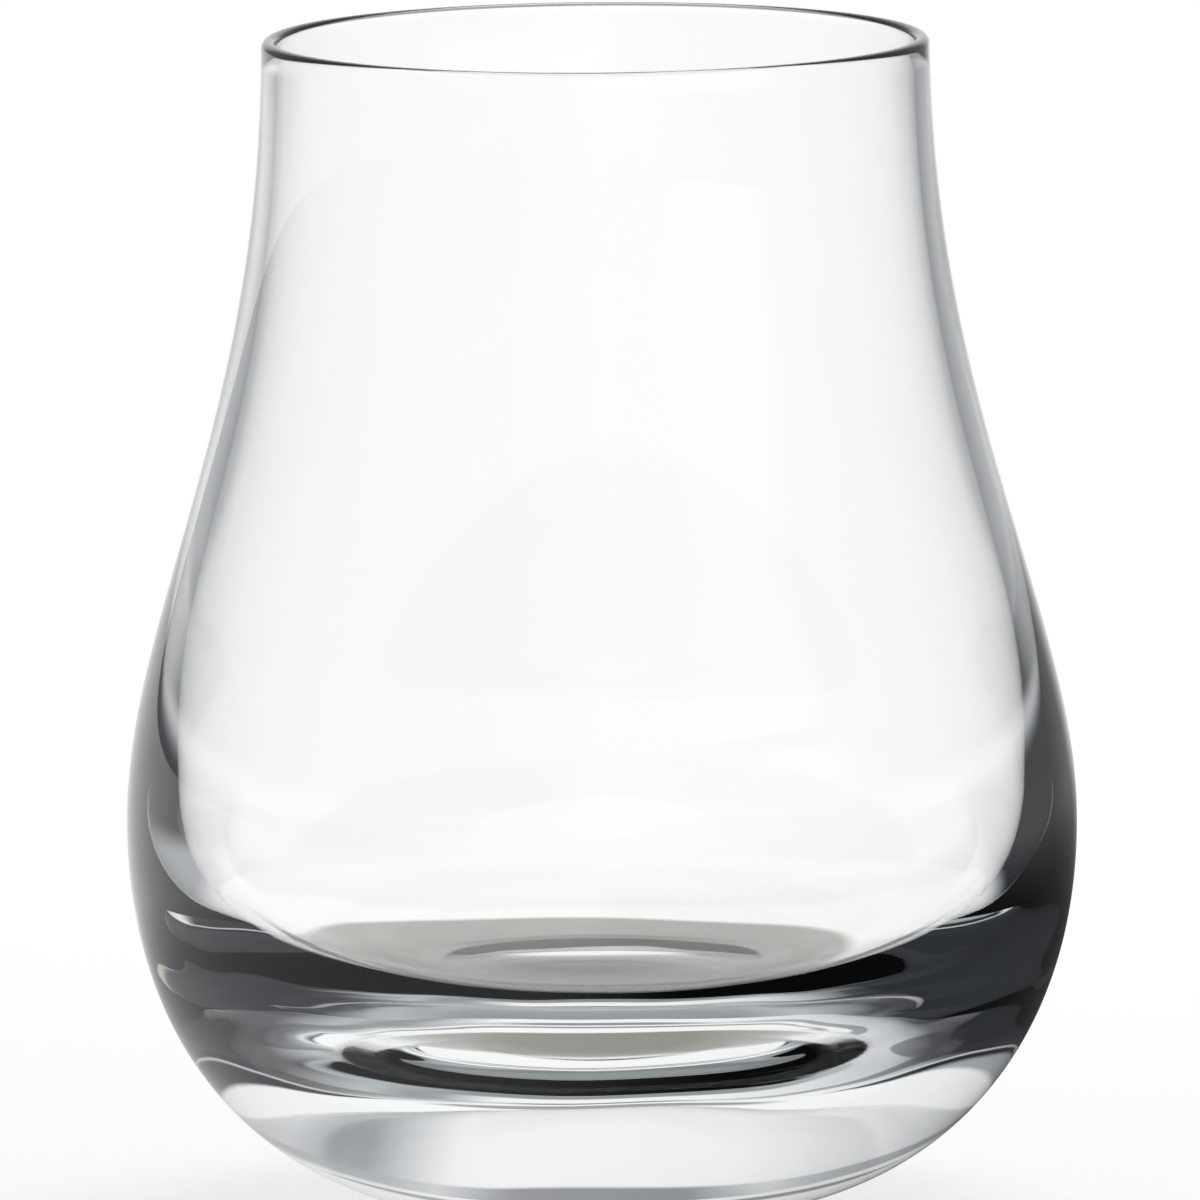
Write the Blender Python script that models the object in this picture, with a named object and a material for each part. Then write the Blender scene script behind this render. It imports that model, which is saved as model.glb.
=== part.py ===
"""A whisky tumbler: one piece of clear glass, turned about the vertical axis.

Metres, +Z up. The origin is on the axis, at the level of the surface that the glass stands on.
A point of the turned profile is (radius, height).
"""
import math

import bmesh
import bpy

MM = 0.001

# Driving dimensions: outside

HEIGHT = 98.0 * MM              # standing surface to the top of the rim
RIM_RADIUS = 28.15 * MM         # outside of the mouth
BELLY_RADIUS = 40.1 * MM        # widest outside radius
BELLY_HEIGHT = 31.6 * MM        # height of the widest outside point
FOOT_RADIUS = 19.1 * MM         # outer edge of the flat ring that the glass stands on
FOOT_RING_WIDTH = 2.8 * MM      # width of that ring

# Driving dimensions: inside and underneath

RIM_WALL = 1.3 * MM             # glass at the rim, which is rounded over
BELLY_WALL = 3.8 * MM           # belly radius less the widest cavity radius
CAVITY_HEIGHT = 36.0 * MM       # height of the widest cavity point
PUNT_DEPTH = 1.6 * MM           # hollow underneath, at the axis
BASE_GLASS = 12.6 * MM          # solid glass from the punt to the cavity floor, at the axis

# Directions in which the curves leave the foot and the rim

FOOT_RISE = math.radians(16.6)      # outside, up from level, where it leaves the foot ring
RIM_LEAN = math.radians(0.4)        # both faces, in from upright, where they reach the rim

# Fullness of each curve's two ends, as shares of the height or width that the curve spans

FOOT_FULLNESS = 0.629
BELLY_LOWER_FULLNESS = 0.522
BELLY_UPPER_FULLNESS = 0.263
RIM_FULLNESS = 0.48
CAVITY_RIM_FULLNESS = 0.54
CAVITY_UPPER_FULLNESS = 0.3
CAVITY_LOWER_FULLNESS = 0.8
FLOOR_FULLNESS = 0.7

# Facets

TURN_STEPS = 64
PUNT_STEPS = 4
LOWER_STEPS = 10
UPPER_STEPS = 11
RIM_STEPS = 6


def clear_scene():
    for obj in list(bpy.data.objects):
        bpy.data.objects.remove(obj, do_unlink=True)


def curve_points(start, start_handle, end_handle, end, steps):
    """Points of a cubic Bezier curve after its start, up to and with its end."""
    points = []
    for step in range(1, steps + 1):
        t = step / steps
        u = 1.0 - t
        weights = (u * u * u, 3.0 * u * u * t, 3.0 * u * t * t, t * t * t)
        corners = (start, start_handle, end_handle, end)
        radius = sum(w * c[0] for w, c in zip(weights, corners))
        height = sum(w * c[1] for w, c in zip(weights, corners))
        points.append((radius, height))
    return points


def punt_points(ring_inner_radius):
    """The punt's shallow spherical cap, from the axis out to the foot ring's inner edge."""
    cap_radius = (ring_inner_radius ** 2 + PUNT_DEPTH ** 2) / (2.0 * PUNT_DEPTH)
    cap_angle = math.atan2(ring_inner_radius, cap_radius - PUNT_DEPTH)
    points = []
    for step in range(PUNT_STEPS):
        angle = cap_angle * step / PUNT_STEPS
        points.append((cap_radius * math.sin(angle), PUNT_DEPTH - cap_radius * (1.0 - math.cos(angle))))
    points.append((ring_inner_radius, 0.0))
    return points


def outside_points(rim_base):
    """From the foot ring's outer edge, out to the belly and in again to the rim."""
    foot = (FOOT_RADIUS, 0.0)
    belly = (BELLY_RADIUS, BELLY_HEIGHT)
    rim = (RIM_RADIUS, rim_base)
    foot_reach = FOOT_FULLNESS * (BELLY_RADIUS - FOOT_RADIUS)
    foot_handle = (FOOT_RADIUS + foot_reach * math.cos(FOOT_RISE), foot_reach * math.sin(FOOT_RISE))
    belly_below = (BELLY_RADIUS, BELLY_HEIGHT * (1.0 - BELLY_LOWER_FULLNESS))
    span = rim_base - BELLY_HEIGHT
    belly_above = (BELLY_RADIUS, BELLY_HEIGHT + BELLY_UPPER_FULLNESS * span)
    rim_reach = RIM_FULLNESS * span
    rim_handle = (RIM_RADIUS + rim_reach * math.tan(RIM_LEAN), rim_base - rim_reach)
    lower = curve_points(foot, foot_handle, belly_below, belly, LOWER_STEPS)
    upper = curve_points(belly, belly_above, rim_handle, rim, UPPER_STEPS)
    return [foot] + lower + upper


def rim_points(rim_base):
    """The rounded rim, from its outer side over the top to its inner side."""
    half_wall = RIM_WALL / 2.0
    points = []
    for step in range(1, RIM_STEPS + 1):
        angle = math.pi * step / RIM_STEPS
        points.append((RIM_RADIUS - half_wall + half_wall * math.cos(angle),
                       rim_base + half_wall * math.sin(angle)))
    return points


def cavity_points(rim_base):
    """From the rim's inner side down the wall and round to the middle of the cavity floor."""
    mouth = (RIM_RADIUS - RIM_WALL, rim_base)
    widest = (BELLY_RADIUS - BELLY_WALL, CAVITY_HEIGHT)
    floor = (0.0, PUNT_DEPTH + BASE_GLASS)
    span = rim_base - CAVITY_HEIGHT
    mouth_reach = CAVITY_RIM_FULLNESS * span
    mouth_handle = (mouth[0] + mouth_reach * math.tan(RIM_LEAN), rim_base - mouth_reach)
    widest_above = (widest[0], CAVITY_HEIGHT + CAVITY_UPPER_FULLNESS * span)
    widest_below = (widest[0], CAVITY_HEIGHT - CAVITY_LOWER_FULLNESS * (CAVITY_HEIGHT - floor[1]))
    floor_handle = (FLOOR_FULLNESS * widest[0], floor[1])
    upper = curve_points(mouth, mouth_handle, widest_above, widest, UPPER_STEPS)
    lower = curve_points(widest, widest_below, floor_handle, floor, LOWER_STEPS)
    return upper + lower


def glass_profile():
    """The whole section, from the axis underneath, up the outside and down the inside to the axis."""
    rim_base = HEIGHT - RIM_WALL / 2.0
    profile = punt_points(FOOT_RADIUS - FOOT_RING_WIDTH)
    profile += outside_points(rim_base)
    profile += rim_points(rim_base)
    profile += cavity_points(rim_base)
    return profile


def turned_mesh(name, profile):
    """A closed mesh made by turning the profile once about the vertical axis."""
    weld_distance = 0.001 * MM
    crease = math.radians(40.0)
    bm = bmesh.new()
    verts = [bm.verts.new((radius, 0.0, height)) for radius, height in profile]
    edges = [bm.edges.new(pair) for pair in zip(verts, verts[1:])]
    bmesh.ops.spin(bm, geom=verts + edges, cent=(0, 0, 0), axis=(0, 0, 1), dvec=(0, 0, 0),
                   angle=2.0 * math.pi, steps=TURN_STEPS, use_merge=True)
    bmesh.ops.remove_doubles(bm, verts=bm.verts, dist=weld_distance)
    bmesh.ops.recalc_face_normals(bm, faces=bm.faces)
    mesh = bpy.data.meshes.new(name)
    bm.to_mesh(mesh)
    bm.free()
    mesh.shade_smooth()
    mesh.set_sharp_from_angle(angle=crease)
    return mesh


def clear_glass():
    material = bpy.data.materials.new("clear_glass")
    material.use_nodes = True
    surface = material.node_tree.nodes["Principled BSDF"]
    surface.inputs["Base Color"].default_value = (0.96, 0.98, 0.98, 1.0)
    surface.inputs["Roughness"].default_value = 0.02
    surface.inputs["Metallic"].default_value = 0.0
    surface.inputs["Transmission Weight"].default_value = 1.0
    surface.inputs["IOR"].default_value = 1.52
    return material


def build_tumbler():
    mesh = turned_mesh("tumbler_glass", glass_profile())
    mesh.materials.append(clear_glass())
    tumbler = bpy.data.objects.new("tumbler_glass", mesh)
    bpy.context.scene.collection.objects.link(tumbler)


clear_scene()
build_tumbler()
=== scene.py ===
"""Looks of the whisky tumbler: a finely turned glass, its studio and the camera of the photograph.

The photograph is a cut-out on white, with a clear wall and a dark base. So the table and the world show
each kind of ray something else. The camera sees plain white and a soft shadow. Rays that come straight
through the glass see a pale room, and so do most of those that come through its cavity. Rays that solid
glass has mirrored see a dark studio with a bright window. Rays that a face has just reflected see soft
screens.
"""
import math

import bmesh
import bpy
from mathutils import Matrix, Vector


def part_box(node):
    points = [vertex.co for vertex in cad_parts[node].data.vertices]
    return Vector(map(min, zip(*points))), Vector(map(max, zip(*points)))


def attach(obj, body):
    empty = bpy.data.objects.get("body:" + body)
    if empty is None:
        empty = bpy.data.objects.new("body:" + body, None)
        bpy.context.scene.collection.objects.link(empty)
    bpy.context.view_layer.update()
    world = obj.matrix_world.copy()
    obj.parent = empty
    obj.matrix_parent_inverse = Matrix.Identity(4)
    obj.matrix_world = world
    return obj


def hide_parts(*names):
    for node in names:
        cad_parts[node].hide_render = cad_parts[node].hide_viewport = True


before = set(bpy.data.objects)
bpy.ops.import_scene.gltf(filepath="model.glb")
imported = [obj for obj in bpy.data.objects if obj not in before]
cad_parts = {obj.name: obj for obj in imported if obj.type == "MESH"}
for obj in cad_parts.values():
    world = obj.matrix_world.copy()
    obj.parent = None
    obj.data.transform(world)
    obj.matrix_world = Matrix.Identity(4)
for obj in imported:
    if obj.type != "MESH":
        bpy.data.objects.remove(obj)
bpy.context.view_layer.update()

MM = 0.001

# The glass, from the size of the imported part: a profile point is (radius, height)

LOW_CORNER, HIGH_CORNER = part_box("tumbler_glass")
HEIGHT = HIGH_CORNER[2] - LOW_CORNER[2]
BELLY_RADIUS = (HIGH_CORNER[0] - LOW_CORNER[0]) / 2.0
BELLY_HEIGHT = 31.6 * MM        # height of the widest outside point
RIM_RADIUS = 28.15 * MM         # outside of the mouth
RIM_WALL = 1.3 * MM
RIM_LEAN = math.radians(0.4)    # both faces, in from upright, where they reach the rim
FOOT_RADIUS = 19.1 * MM         # outer edge of the flat ring that the glass stands on
FOOT_RING_WIDTH = 2.8 * MM
FOOT_ROUND = 0.7 * MM           # length of the ring's rounded edges, each way from the corner
FOOT_RISE = math.radians(16.6)  # outside, up from level, where it leaves the foot ring
PUNT_DEPTH = 1.6 * MM           # hollow underneath, at the axis
PUNT_POWER = 2.0                # power of the punt's curve
BASE_GLASS = 12.6 * MM          # solid glass from the punt to the cavity floor, at the axis
BELLY_WALL = 3.8 * MM           # belly radius less the widest cavity radius
CAVITY_HEIGHT = 36.0 * MM       # height of the widest cavity point

# Fullness of each curve's two ends, as shares of the height or width that the curve spans

FOOT_FULLNESS = 0.629
BELLY_LOWER_FULLNESS = 0.522
BELLY_UPPER_FULLNESS = 0.263
RIM_FULLNESS = 0.48
CAVITY_RIM_FULLNESS = 0.54
CAVITY_UPPER_FULLNESS = 0.3
CAVITY_LOWER_FULLNESS = 0.8
FLOOR_FULLNESS = 0.7

# Facets

TURN_STEPS = 256
CURVE_STEPS = 56
ROUND_STEPS = 8
FLOOR_STEPS = 96

# Finish of the glass

GLASS_IOR = 1.52
GLASS_TINT = (0.93, 0.955, 0.96)
GLASS_TINT_DENSITY = 6.0        # per metre
SHADOW_TINT = (0.80, 0.81, 0.81)        # light that passes the glass on its way to the table
WAVE_SIZE = 45.0                # forming waves, per metre
WAVE_DETAIL = 0.5
WAVE_HEIGHT = 0.60 * MM
WAVE_CALM = (20.0 * MM, 36.0 * MM)      # the waves of the base calm down between these heights
WALL_WAVES = 0.025              # share of them that the wall keeps
FOOT_WEAR_HEIGHT = 0.35 * MM    # the foot ring is rubbed dull up to here
FOOT_ROUGHNESS = 0.30           # roughness of its deepest scuffs
SCUFF_SIZE = 900.0              # per metre

# Camera of the photograph: a long lens, looking slightly down, with the axis leaning a little

CAMERA_DISTANCE = 3.0           # metres
CAMERA_AIM_HEIGHT = 50.25 * MM
CAMERA_PITCH = math.radians(7.11)
CAMERA_ROLL = math.radians(0.49)
CAMERA_LENS = 1067.2            # millimetres, like the sensor
SENSOR_WIDTH = 36.0

# Kinds of ray

CLEAR_CROSSINGS = 3.5           # rays that cross more faces than this have come through the cavity
MIRROR_COUNT = 0.5              # rays with fewer mirrorings than this have come straight

# Studio that solid glass mirrors: (degrees to the right of straight behind the glass, brightness)

HALF_TURN = 180.0
SKIRT_LEVELS = (
    (-180, 0.6), (-150, 0.03), (-50, 0.04), (-36, 0.3), (-20, 0.55), (-15, 0.75), (-8, 0.28), (8, 0.28),
    (15, 0.7), (21, 0.48), (36, 0.28), (50, 0.05), (140, 0.05), (160, 0.6), (180, 0.6))
WINDOW_LEVELS = (
    (-180, 0.6), (-150, 0.04), (-60, 0.03), (-51, 0.08), (-40, 0.55), (-28, 0.82), (-14, 0.97), (14, 0.97),
    (24, 0.36), (29, 0.33), (36, 0.53), (51, 0.08), (60, 0.04), (112, 0.05), (145, 0.6), (180, 0.6))
UPPER_LEVELS = (
    (-180, 0.5), (-150, 0.04), (-60, 0.05), (-36, 0.55), (-24, 0.33), (24, 0.31), (40, 0.5), (48, 0.5),
    (66, 0.05), (112, 0.05), (130, 0.3), (180, 0.5))
WINDOW_SILL = (2.6, 3.4)        # degrees of height, where each band fades into the next
WINDOW_TOP = (21.0, 29.0)
HIGH_BAND = (44.0, 52.0)
HIGH_LEVEL = 0.26
ZENITH = (60.0, 70.0)
ZENITH_LEVEL = 0.60
COOL_TONES = (                  # brightness and its colour: dim parts are a little blue
    (0.0, (0.0, 0.0, 0.0)), (0.03, (0.0255, 0.029, 0.0355)), (0.5, (0.477, 0.505, 0.52)),
    (1.0, (1.0, 1.0, 1.0)))
GLOW_AIM = (138.0, 6.0)         # degrees: turn and height of a warm lamp in front, at the right
GLOW_SIZE = (12.0, 22.0)        # degrees: full up to the first, gone at the second
GLOW_COLOUR = (1.0, 0.92, 0.78)

# Pale room and gloss, with a dark screen at each side, which the table also paints: (degrees from straight
# behind, brightness)

CLEAR_LEVELS = (
    (0, 1.0), (10, 0.97), (15, 0.75), (20, 0.3), (30, 0.25), (36, 0.55), (42, 1.0), (180, 1.0))
GLOSS_LEVELS = (
    (0, 1.0), (13, 0.95), (24, 0.35), (45, 0.32), (62, 0.5), (110, 0.85), (140, 1.0), (180, 1.0))

# Light and shade painted on the table top for the gloss, at the right and at the left, by distance from
# the axis

NEAR_GLOSS = (120.0 * MM, 420.0 * MM)   # painted dark next to the glass fades into the painted screens
NEAR_GLOSS_LEVEL = 0.06
LEFT_GLOSS_LEVELS = ((0, 0.6), (90, 0.6), (170, 1.0), (900, 1.0))   # (millimetres, brightness)

# Light and shade painted on the table top, as seen through the glass: levels by turn, as in the studio,
# then lengths

TABLE_LEVELS = (
    (-180, 1.0), (-165, 0.1), (-60, 0.03), (-48, 0.2), (-36, 0.65), (-26, 0.95), (14, 0.95), (27, 0.58),
    (42, 0.1), (60, 0.02), (112, 0.02), (120, 0.9), (180, 1.0))
TABLE_FALL = (150.0 * MM, 230.0 * MM)   # white next to the glass fades into these levels
ROOM_FALL = (400.0 * MM, 900.0 * MM)    # the table fades into the room or the studio's skirt
LANE_APEX = 300.0 * MM          # a painted lane of light behind the glass widens as if from this far in front of it
LANE_SHORTEST = 1.0 * MM        # keeps its length above zero
LANE_SLOPE = (0.142, 0.165)     # its half width over its length, where light turns into dark
LANE_END = (140.0 * MM, 190.0 * MM)
LANE_FRONT = (6.0 * MM, 26.0 * MM)
DARK_LEVEL = 0.025              # painted shade on the table beside the lane
LEFT_LEVEL = 0.45               # the same painted shade at the left, close to the glass
LEFT_FALL = (92.0 * MM, 118.0 * MM)
SIDE_CHANGE = (-20.0 * MM, 20.0 * MM)   # width over which left turns into right

# The glass's own shade, painted on the table: (millimetres from the centre, brightness)

# colour of the painted shade, by its brightness
OLIVE_TONES = ((0.0, (0.0, 0.0, 0.0)), (0.36, (0.36, 0.357, 0.328)), (1.0, (1.0, 1.0, 1.0)))
SHADE_CENTRE = (-3.0 * MM, 2.0 * MM, 0.0)
SHADE_LEVELS = ((0, 0.12), (6, 0.14), (10, 0.21), (15, 0.28), (22, 0.31), (28, 0.35), (29.6, 1.0))
SOLID_SHADE_CENTRE = (0.0, -16.0 * MM, 0.0)
SOLID_SHADE_LEVELS = (
    (0, 0.29), (8, 0.31), (13, 0.40), (19, 0.45), (25, 0.50), (31, 0.56), (35, 0.62), (38, 1.0))
LANE_SHADE_CENTRE = (0.0, 145.0 * MM, 0.0)
LANE_SHADE_LEVELS = ((0, 0.34), (40, 0.36), (52, 1.0))

# Table, lamp and white room as the camera sees them

FLOOR_CENTRE = (0.0, 0.0, 0.0)
FLOOR_RADIUS = 6.0              # metres
FLOOR_DROP = 0.05 * MM          # gap under the foot ring
LIT_SHARE = 0.45                # share of the table's white that is lit, at the glass; the rest glows
LIT_FALL = (100.0 * MM, 550.0 * MM)     # between these distances that share fades to none
LAMP_PLACE = (0.20, 0.55, 0.80)         # metres
LAMP_SIZE = 0.55
LAMP_POWER = 5.2                # watts
LAMP_AIM_HEIGHT = 40.0 * MM
ROOM_LIGHT = 0.5                # strength of the white room's light on the table
WHITE = (1.0, 1.0, 1.0, 1.0)

# Places of the factor and of the first and second value in a Mix node's inputs

NUMBER_SLOTS = (0, 2, 3)
COLOUR_SLOTS = (0, 6, 7)
COLOUR_RESULT = 2               # place of the mixed colour in its outputs


def curve_points(start, start_handle, end_handle, end, steps):
    """Points of a cubic Bezier curve after its start, up to and with its end."""
    points = []
    for step in range(1, steps + 1):
        t = step / steps
        u = 1.0 - t
        weights = (u * u * u, 3.0 * u * u * t, 3.0 * u * t * t, t * t * t)
        corners = (start, start_handle, end_handle, end)
        points.append(tuple(sum(w * c[k] for w, c in zip(weights, corners)) for k in (0, 1)))
    return points


def soft_corner(before, corner, after):
    """Points of a short round edge that leaves the line to one point and joins the line to the next."""
    ends = []
    for point in (before, after):
        length = math.hypot(point[0] - corner[0], point[1] - corner[1])
        ends.append(tuple(corner[k] + (point[k] - corner[k]) * FOOT_ROUND / length for k in (0, 1)))
    return [ends[0]] + curve_points(ends[0], corner, corner, ends[1], ROUND_STEPS)


def punt_points():
    """The hollow underneath, from the axis to just before the inner edge of the foot ring."""
    edge = FOOT_RADIUS - FOOT_RING_WIDTH
    steps = CURVE_STEPS // 2
    points = []
    for step in range(steps + 1):
        radius = edge * math.sin(0.5 * math.pi * step / steps)
        if radius < edge - FOOT_ROUND:
            points.append((radius, PUNT_DEPTH * (1.0 - (radius / edge) ** PUNT_POWER)))
    return points


def outside_curves(rim_base):
    """The belly from the foot ring up, and the drawn-in wall up to the rim."""
    foot = (FOOT_RADIUS, 0.0)
    belly = (BELLY_RADIUS, BELLY_HEIGHT)
    rim = (RIM_RADIUS, rim_base)
    foot_reach = FOOT_FULLNESS * (BELLY_RADIUS - FOOT_RADIUS)
    foot_handle = (FOOT_RADIUS + foot_reach * math.cos(FOOT_RISE), foot_reach * math.sin(FOOT_RISE))
    belly_below = (BELLY_RADIUS, BELLY_HEIGHT * (1.0 - BELLY_LOWER_FULLNESS))
    span = rim_base - BELLY_HEIGHT
    belly_above = (BELLY_RADIUS, BELLY_HEIGHT + BELLY_UPPER_FULLNESS * span)
    rim_reach = RIM_FULLNESS * span
    rim_handle = (RIM_RADIUS + rim_reach * math.tan(RIM_LEAN), rim_base - rim_reach)
    lower = curve_points(foot, foot_handle, belly_below, belly, CURVE_STEPS)
    upper = curve_points(belly, belly_above, rim_handle, rim, CURVE_STEPS)
    return lower + upper


def underside_and_outside(rim_base):
    """From the axis underneath, over the rounded foot ring and up the outside."""
    ring_inner = (FOOT_RADIUS - FOOT_RING_WIDTH, 0.0)
    ring_outer = (FOOT_RADIUS, 0.0)
    punt = punt_points()
    outside = outside_curves(rim_base)
    clear = [p for p in outside if p[0] > FOOT_RADIUS + FOOT_ROUND or p[1] > BELLY_HEIGHT]
    inner_edge = soft_corner(punt[-1], ring_inner, ring_outer)
    outer_edge = soft_corner(ring_inner, ring_outer, clear[0])
    return punt + inner_edge + outer_edge + clear


def rim_points(rim_base):
    """The rounded lip."""
    half_wall = RIM_WALL / 2.0
    points = []
    for step in range(1, 2 * ROUND_STEPS):
        angle = math.pi * step / (2 * ROUND_STEPS)
        points.append((RIM_RADIUS - half_wall + half_wall * math.cos(angle),
                       rim_base + half_wall * math.sin(angle)))
    return points


def cavity_points(rim_base):
    """From the lip down the inner wall to the middle of the cavity floor."""
    mouth = (RIM_RADIUS - RIM_WALL, rim_base)
    widest = (BELLY_RADIUS - BELLY_WALL, CAVITY_HEIGHT)
    floor = (0.0, PUNT_DEPTH + BASE_GLASS)
    span = rim_base - CAVITY_HEIGHT
    mouth_reach = CAVITY_RIM_FULLNESS * span
    mouth_handle = (mouth[0] + mouth_reach * math.tan(RIM_LEAN), rim_base - mouth_reach)
    widest_above = (widest[0], CAVITY_HEIGHT + CAVITY_UPPER_FULLNESS * span)
    widest_below = (widest[0], CAVITY_HEIGHT - CAVITY_LOWER_FULLNESS * (CAVITY_HEIGHT - floor[1]))
    floor_handle = (FLOOR_FULLNESS * widest[0], floor[1])
    upper = curve_points(mouth, mouth_handle, widest_above, widest, CURVE_STEPS)
    lower = curve_points(widest, widest_below, floor_handle, floor, CURVE_STEPS)
    return [mouth] + upper + lower


def glass_profile():
    """The whole section, from the axis underneath, up the outside and down the inside."""
    rim_base = HEIGHT - RIM_WALL / 2.0
    return underside_and_outside(rim_base) + rim_points(rim_base) + cavity_points(rim_base)


def turned_glass():
    """The glass as one closed, finely turned mesh."""
    weld_distance = 0.001 * MM
    bm = bmesh.new()
    verts = [bm.verts.new((radius, 0.0, height)) for radius, height in glass_profile()]
    edges = [bm.edges.new(pair) for pair in zip(verts, verts[1:])]
    bmesh.ops.spin(bm, geom=verts + edges, cent=(0, 0, 0), axis=(0, 0, 1), dvec=(0, 0, 0),
                   angle=2.0 * math.pi, steps=TURN_STEPS, use_merge=True)
    bmesh.ops.remove_doubles(bm, verts=bm.verts, dist=weld_distance)
    bmesh.ops.recalc_face_normals(bm, faces=bm.faces)
    return mesh_object("glass", bm)


def mesh_object(name, bm):
    """A new object in the scene from a bmesh, shaded smooth."""
    mesh = bpy.data.meshes.new(name)
    bm.to_mesh(mesh)
    bm.free()
    mesh.shade_smooth()
    obj = bpy.data.objects.new(name, mesh)
    bpy.context.scene.collection.objects.link(obj)
    return obj


def new_material(name):
    """An empty node material and its output node."""
    material = bpy.data.materials.new(name)
    material.use_nodes = True
    material.node_tree.nodes.clear()
    output = material.node_tree.nodes.new("ShaderNodeOutputMaterial")
    return material, output


def add_node(tree, kind, **settings):
    """A node of the given kind with plain attributes set."""
    node = tree.nodes.new(kind)
    for name, value in settings.items():
        setattr(node, name, value)
    return node


def feed(tree, value, slot):
    """Link an output to an input slot, or set the slot to a plain value."""
    if isinstance(value, bpy.types.NodeSocket):
        tree.links.new(value, slot)
    else:
        slot.default_value = value


def coloured(tree, kind, colour):
    """A shader node of the given kind with its colour fed."""
    node = add_node(tree, kind)
    feed(tree, colour, node.inputs["Color"])
    return node


def coordinates(tree, space):
    """A point or direction, whole and as its three axes."""
    point = add_node(tree, "ShaderNodeTexCoord").outputs[space]
    axes = add_node(tree, "ShaderNodeSeparateXYZ")
    tree.links.new(point, axes.inputs[0])
    return point, axes.outputs


def map_range(tree, source, low, high, to_low=0.0, to_high=1.0):
    """A smooth ramp of a value between two limits."""
    ramp = add_node(tree, "ShaderNodeMapRange", interpolation_type="SMOOTHSTEP")
    tree.links.new(source, ramp.inputs["Value"])
    ramp.inputs["From Min"].default_value = low
    ramp.inputs["From Max"].default_value = high
    ramp.inputs["To Min"].default_value = to_low
    ramp.inputs["To Max"].default_value = to_high
    return ramp.outputs["Result"]


def math_node(tree, operation, first, second=None):
    """The result of a Math node whose inputs are outputs of other nodes or numbers."""
    node = add_node(tree, "ShaderNodeMath", operation=operation)
    feed(tree, first, node.inputs[0])
    if second is not None:
        feed(tree, second, node.inputs[1])
    return node.outputs[0]


def blend(tree, factor, first, second):
    """A number that goes from the first value to the second as the factor rises."""
    node = add_node(tree, "ShaderNodeMix", data_type="FLOAT")
    for slot, value in zip(NUMBER_SLOTS, (factor, first, second)):
        feed(tree, value, node.inputs[slot])
    return node.outputs[0]


def blend_colours(tree, factor, first, second, how="MIX"):
    """A colour that goes from the first to the second, or to their product, as the factor rises."""
    node = add_node(tree, "ShaderNodeMix", data_type="RGBA", blend_type=how)
    for slot, value in zip(COLOUR_SLOTS, (factor, first, second)):
        feed(tree, value, node.inputs[slot])
    return node.outputs[COLOUR_RESULT]


def blend_shaders(tree, factor, first, second):
    """A shader that goes from the first shader node to the second as the factor rises."""
    node = add_node(tree, "ShaderNodeMixShader")
    for slot, value in enumerate((factor, first.outputs[0], second.outputs[0])):
        tree.links.new(value, node.inputs[slot])
    return node.outputs[0]


def signed_turn(tree, axes):
    """Degrees to the right of straight behind the glass, seen from above."""
    return math_node(tree, "DEGREES", math_node(tree, "ARCTAN2", axes["X"], axes["Y"]))


def around(tree, turn, stops):
    """Brightness by degrees of turn to the left (below zero) or right."""
    positive_stops = [(degrees + HALF_TURN, level) for degrees, level in stops]
    return levels(tree, math_node(tree, "ADD", turn, HALF_TURN), positive_stops)


def either_side(tree, turn, stops):
    """Brightness by degrees of turn, the same to the left and right."""
    return levels(tree, math_node(tree, "ABSOLUTE", turn), stops)


def spot_level(tree, point, centre, stops):
    """Brightness by millimetres from a point of the table."""
    from_centre = add_node(tree, "ShaderNodeVectorMath", operation="DISTANCE")
    tree.links.new(point, from_centre.inputs[0])
    from_centre.inputs[1].default_value = centre
    stops_in_metres = [(millimetres * MM, level) for millimetres, level in stops]
    return levels(tree, from_centre.outputs["Value"], stops_in_metres)


def levels(tree, value, stops):
    """Brightness by a measure that starts at zero and ends at the last stop."""
    full = stops[-1][0]
    return colours(tree, math_node(tree, "DIVIDE", value, full),
                   [(place / full, (level, level, level)) for place, level in stops])


def colours(tree, value, stops):
    """A colour ramp with the given stops between zero and one."""
    ramp_node = add_node(tree, "ShaderNodeValToRGB")
    ramp = ramp_node.color_ramp
    while len(ramp.elements) < len(stops):
        ramp.elements.new(1.0)
    for element, (place, colour) in zip(ramp.elements, stops):
        element.position = place
        element.color = (*colour, 1.0)
    tree.links.new(value, ramp_node.inputs["Fac"])
    return ramp_node.outputs["Color"]


def through_cavity(tree, light_path):
    """One for rays that went through wall, cavity and wall again, zero for those in solid glass alone."""
    return math_node(tree, "GREATER_THAN", light_path.outputs["Transmission Depth"], CLEAR_CROSSINGS)


def unmirrored(tree, light_path):
    """One for rays that no face of the glass has mirrored."""
    return math_node(tree, "LESS_THAN", light_path.outputs["Glossy Depth"], MIRROR_COUNT)


def just_reflected(tree, light_path):
    """One for rays that a face has just reflected, zero or less for those just out of the glass."""
    return math_node(tree, "SUBTRACT", light_path.outputs["Is Glossy Ray"],
                     light_path.outputs["Is Transmission Ray"])


def noise(tree, point, size):
    """A node of smooth random values."""
    node = add_node(tree, "ShaderNodeTexNoise")
    node.inputs["Scale"].default_value = size
    tree.links.new(point, node.inputs["Vector"])
    return node


def wave_normal(tree, point, height):
    """Slow forming waves in the base, which calm down towards the wall."""
    waves = noise(tree, point, WAVE_SIZE)
    waves.inputs["Detail"].default_value = WAVE_DETAIL
    calm = map_range(tree, height, *WAVE_CALM, 1.0, WALL_WAVES)
    bump = add_node(tree, "ShaderNodeBump")
    bump.inputs["Distance"].default_value = WAVE_HEIGHT
    tree.links.new(math_node(tree, "MULTIPLY", waves.outputs["Fac"], calm), bump.inputs["Height"])
    return bump.outputs["Normal"]


def foot_wear(tree, point, height):
    """Roughness of the scuffed foot ring, gone just above it."""
    scuffs = noise(tree, point, SCUFF_SIZE)
    worn = map_range(tree, height, 0.0, FOOT_WEAR_HEIGHT, FOOT_ROUGHNESS, 0.0)
    return math_node(tree, "MULTIPLY", worn, scuffs.outputs["Fac"])


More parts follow.
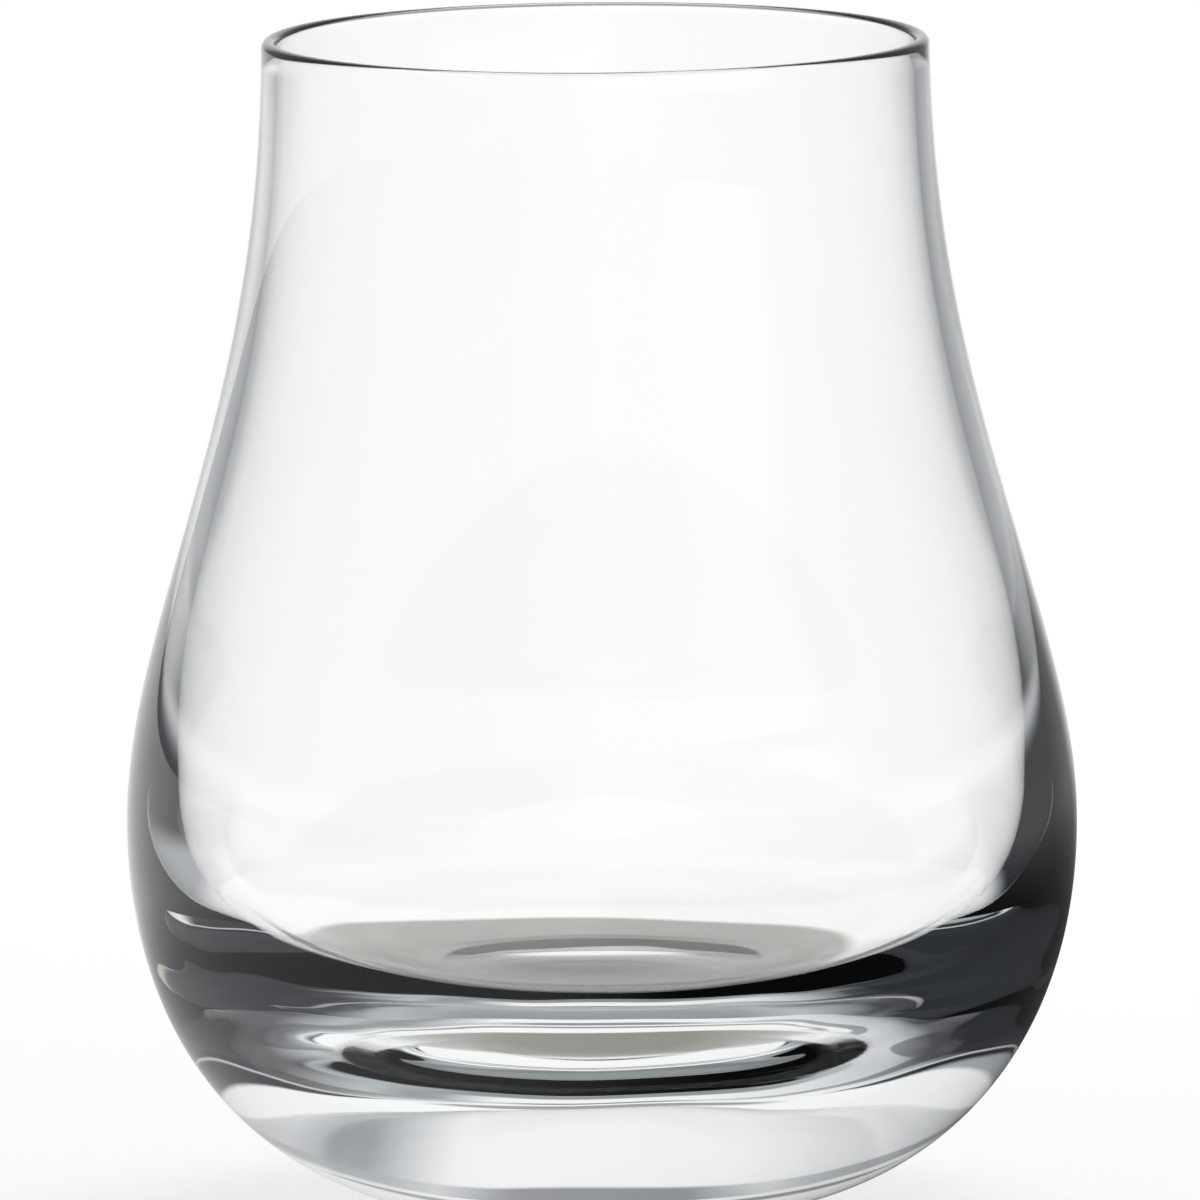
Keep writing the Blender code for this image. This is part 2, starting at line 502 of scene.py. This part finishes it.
def clear_glass():
    """Colourless glass with forming waves in its base, a rubbed foot and a cool tint in thick glass."""
    material, output = new_material("clear_glass")
    tree = material.node_tree
    point, axes = coordinates(tree, "Object")
    surface = add_node(tree, "ShaderNodeBsdfPrincipled")
    surface.inputs["Base Color"].default_value = WHITE
    surface.inputs["IOR"].default_value = GLASS_IOR
    surface.inputs["Transmission Weight"].default_value = 1.0
    tree.links.new(foot_wear(tree, point, axes["Z"]), surface.inputs["Roughness"])
    tree.links.new(wave_normal(tree, point, axes["Z"]), surface.inputs["Normal"])
    see_through = coloured(tree, "ShaderNodeBsdfTransparent", (*SHADOW_TINT, 1.0))
    light_path = add_node(tree, "ShaderNodeLightPath")
    finish = blend_shaders(tree, light_path.outputs["Is Shadow Ray"], surface, see_through)
    tree.links.new(finish, output.inputs["Surface"])
    tint = coloured(tree, "ShaderNodeVolumeAbsorption", (*GLASS_TINT, 1.0))
    tint.inputs["Density"].default_value = GLASS_TINT_DENSITY
    tree.links.new(tint.outputs[0], output.inputs["Volume"])
    return material


def beside_lane(tree, axes, distance):
    """Share of the painted dark that lies beside the painted lane of light on the table behind the glass.
    """
    from_apex = math_node(tree, "ADD", axes["Y"], LANE_APEX)
    length = math_node(tree, "MAXIMUM", from_apex, LANE_SHORTEST)
    slope = math_node(tree, "DIVIDE", math_node(tree, "ABSOLUTE", axes["X"]), length)
    beside = map_range(tree, slope, *LANE_SLOPE)
    near = map_range(tree, distance, *LANE_END, 1.0, 0.0)
    behind = map_range(tree, axes["Y"], *LANE_FRONT)
    return math_node(tree, "MULTIPLY", math_node(tree, "MULTIPLY", beside, near), behind)


def painted_table_light(tree, axes, distance, light_path):
    """Painted light and shade of the table: pale to straight rays, dark beside the lane to all in solid
    glass.
    """
    turn = signed_turn(tree, axes)
    clear = through_cavity(tree, light_path)
    away = map_range(tree, distance, *TABLE_FALL)
    near_table = blend(tree, away, 1.0, around(tree, turn, TABLE_LEVELS))
    # farther out, the table takes on painted levels of the studio's skirt and of the pale room
    far = map_range(tree, distance, *ROOM_FALL)
    mirrored_table = blend(tree, far, near_table, around(tree, turn, SKIRT_LEVELS))
    pale_table = blend(tree, far, 1.0, either_side(tree, turn, CLEAR_LEVELS))
    straight = math_node(tree, "MAXIMUM", unmirrored(tree, light_path), clear)
    table = blend(tree, straight, mirrored_table, pale_table)
    in_solid = math_node(tree, "SUBTRACT", 1.0, clear)
    dark = math_node(tree, "MULTIPLY", beside_lane(tree, axes, distance), in_solid)
    left = map_range(tree, axes["X"], *SIDE_CHANGE, 1.0, 0.0)
    close_left = math_node(tree, "MULTIPLY", left, map_range(tree, distance, *LEFT_FALL, 1.0, 0.0))
    return blend(tree, dark, table, blend(tree, close_left, DARK_LEVEL, LEFT_LEVEL))


def own_shade(tree, point, light_path):
    """The glass's own shade, painted on the table, as the cavity and as the solid base show it."""
    base_shade = spot_level(tree, point, SOLID_SHADE_CENTRE, SOLID_SHADE_LEVELS)
    lane_shade = spot_level(tree, point, LANE_SHADE_CENTRE, LANE_SHADE_LEVELS)
    solid_shade = math_node(tree, "MINIMUM", base_shade, lane_shade)
    clear_shade = spot_level(tree, point, SHADE_CENTRE, SHADE_LEVELS)
    return blend(tree, through_cavity(tree, light_path), solid_shade, clear_shade)


def table_gloss(tree, point, axes, distance):
    """Painted light and shade that the table shows in the gloss of the glass."""
    painted_screens = either_side(tree, signed_turn(tree, axes), GLOSS_LEVELS)
    right_gloss = blend(tree, map_range(tree, distance, *NEAR_GLOSS), NEAR_GLOSS_LEVEL, painted_screens)
    left_gloss = spot_level(tree, point, FLOOR_CENTRE, LEFT_GLOSS_LEVELS)
    right = map_range(tree, axes["X"], *SIDE_CHANGE)
    return blend(tree, right, left_gloss, right_gloss)


def table_to_camera(tree, distance):
    """White table that takes a soft shadow at the glass and glows evenly farther away."""
    lit_share = map_range(tree, distance, *LIT_FALL, LIT_SHARE, 0.0)
    glow = coloured(tree, "ShaderNodeEmission", math_node(tree, "SUBTRACT", 1.0, lit_share))
    lit = coloured(tree, "ShaderNodeBsdfDiffuse", lit_share)
    both = add_node(tree, "ShaderNodeAddShader")
    tree.links.new(glow.outputs[0], both.inputs[0])
    tree.links.new(lit.outputs[0], both.inputs[1])
    return both


def floor_material():
    """Table top: white with the lamp's shadow to the camera, and painted light and shade to the glass."""
    material, output = new_material("studio_floor")
    tree = material.node_tree
    point, axes = coordinates(tree, "Object")
    from_axis = add_node(tree, "ShaderNodeVectorMath", operation="LENGTH")
    tree.links.new(point, from_axis.inputs[0])
    distance = from_axis.outputs["Value"]
    light_path = add_node(tree, "ShaderNodeLightPath")
    table = colours(tree, painted_table_light(tree, axes, distance, light_path), COOL_TONES)
    shade = colours(tree, own_shade(tree, point, light_path), OLIVE_TONES)
    shaded = blend_colours(tree, 1.0, table, shade, "MULTIPLY")
    gloss = table_gloss(tree, point, axes, distance)
    seen = blend_colours(tree, just_reflected(tree, light_path), shaded, gloss)
    # to rays from the glass, the table glows with its painted light and shade
    glass_view = coloured(tree, "ShaderNodeEmission", seen)
    camera_view = table_to_camera(tree, distance)
    finish = blend_shaders(tree, light_path.outputs["Is Camera Ray"], glass_view, camera_view)
    tree.links.new(finish, output.inputs["Surface"])
    return material


def studio_floor():
    """A wide round table top just under the foot."""
    bm = bmesh.new()
    bmesh.ops.create_circle(bm, cap_ends=True, segments=FLOOR_STEPS, radius=FLOOR_RADIUS)
    bmesh.ops.translate(bm, verts=bm.verts, vec=(0, 0, -FLOOR_DROP))
    floor = mesh_object("studio_floor", bm)
    floor.data.materials.append(floor_material())


def sines(limits):
    """Two heights in degrees as the rise of a direction of length one."""
    return [math.sin(math.radians(degrees)) for degrees in limits]


def warm_glow(tree, direction):
    """Share of a soft warm lamp in a direction."""
    turn, height = [math.radians(degrees) for degrees in GLOW_AIM]
    aim = (math.sin(turn) * math.cos(height), math.cos(turn) * math.cos(height), math.sin(height))
    closeness = add_node(tree, "ShaderNodeVectorMath", operation="DOT_PRODUCT")
    tree.links.new(direction, closeness.inputs[0])
    closeness.inputs[1].default_value = aim
    limits = [math.cos(math.radians(degrees)) for degrees in reversed(GLOW_SIZE)]
    return map_range(tree, closeness.outputs["Value"], *limits)


def studio_bands(tree, turn, rise, light_path):
    """The studio by height. Straight rays see the pale room instead, and the cavity's low rays do too."""
    pale = either_side(tree, turn, CLEAR_LEVELS)
    skirt = around(tree, turn, SKIRT_LEVELS)
    window = around(tree, turn, WINDOW_LEVELS)
    low = blend(tree, map_range(tree, rise, *sines(WINDOW_SILL)), skirt, window)
    studio = blend(tree, through_cavity(tree, light_path), low, pale)
    upper = around(tree, turn, UPPER_LEVELS)
    for limits, level in ((WINDOW_TOP, upper), (HIGH_BAND, HIGH_LEVEL), (ZENITH, ZENITH_LEVEL)):
        studio = blend(tree, map_range(tree, rise, *sines(limits)), studio, level)
    return blend(tree, unmirrored(tree, light_path), studio, pale)


def studio_world():
    """The studio, the pale room and the gloss to rays from the glass, and white to all others."""
    world = bpy.data.worlds.new("studio")
    bpy.context.scene.world = world
    world.use_nodes = True
    tree = world.node_tree
    tree.nodes.clear()
    direction, axes = coordinates(tree, "Generated")
    turn = signed_turn(tree, axes)
    light_path = add_node(tree, "ShaderNodeLightPath")
    studio = colours(tree, studio_bands(tree, turn, axes["Z"], light_path), COOL_TONES)
    lit = blend_colours(tree, warm_glow(tree, direction), studio, (*GLOW_COLOUR, 1.0))
    gloss = either_side(tree, turn, GLOSS_LEVELS)
    seen = blend_colours(tree, just_reflected(tree, light_path), lit, gloss)
    glass_view = coloured(tree, "ShaderNodeBackground", seen)
    white = coloured(tree, "ShaderNodeBackground", WHITE)
    strength = blend(tree, light_path.outputs["Is Diffuse Ray"], 1.0, ROOM_LIGHT)
    tree.links.new(strength, white.inputs["Strength"])
    from_glass = math_node(tree, "MAXIMUM", light_path.outputs["Is Transmission Ray"],
                           light_path.outputs["Is Glossy Ray"])
    output = add_node(tree, "ShaderNodeOutputWorld")
    tree.links.new(blend_shaders(tree, from_glass, white, glass_view), output.inputs["Surface"])


def window_lamp():
    """A square soft lamp behind the glass, which the table sees and the glass doesn't."""
    lamp = bpy.data.objects.new("window_light", bpy.data.lights.new("window_light", "AREA"))
    bpy.context.scene.collection.objects.link(lamp)
    lamp.location = LAMP_PLACE
    aim = Vector((0.0, 0.0, LAMP_AIM_HEIGHT)) - Vector(LAMP_PLACE)
    lamp.rotation_euler = aim.to_track_quat("-Z", "Y").to_euler()
    lamp.data.size = LAMP_SIZE
    lamp.data.energy = LAMP_POWER
    lamp.visible_camera = False
    lamp.visible_glossy = False
    lamp.visible_transmission = False


def photo_camera():
    """The camera, placed and rolled as the photograph shows the glass."""
    camera = bpy.data.objects.new("photo_camera", bpy.data.cameras.new("photo_camera"))
    bpy.context.scene.collection.objects.link(camera)
    forward = Vector((0.0, math.cos(CAMERA_PITCH), -math.sin(CAMERA_PITCH)))
    camera.location = Vector((0.0, 0.0, CAMERA_AIM_HEIGHT)) - CAMERA_DISTANCE * forward
    level = Matrix.Rotation(math.pi / 2.0 - CAMERA_PITCH, 3, "X")
    camera.rotation_euler = (Matrix.Rotation(CAMERA_ROLL, 3, forward) @ level).to_euler()
    camera.data.sensor_width = SENSOR_WIDTH
    camera.data.lens = CAMERA_LENS
    bpy.context.scene.camera = camera


def dress_tumbler():
    """The visible glass, in the place of the CAD node."""
    glass = turned_glass()
    glass.data.materials.append(clear_glass())
    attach(glass, "root")
    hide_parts("tumbler_glass")


photo_camera()
dress_tumbler()
studio_floor()
studio_world()
window_lamp()
bpy.context.scene.view_settings.view_transform = "Standard"
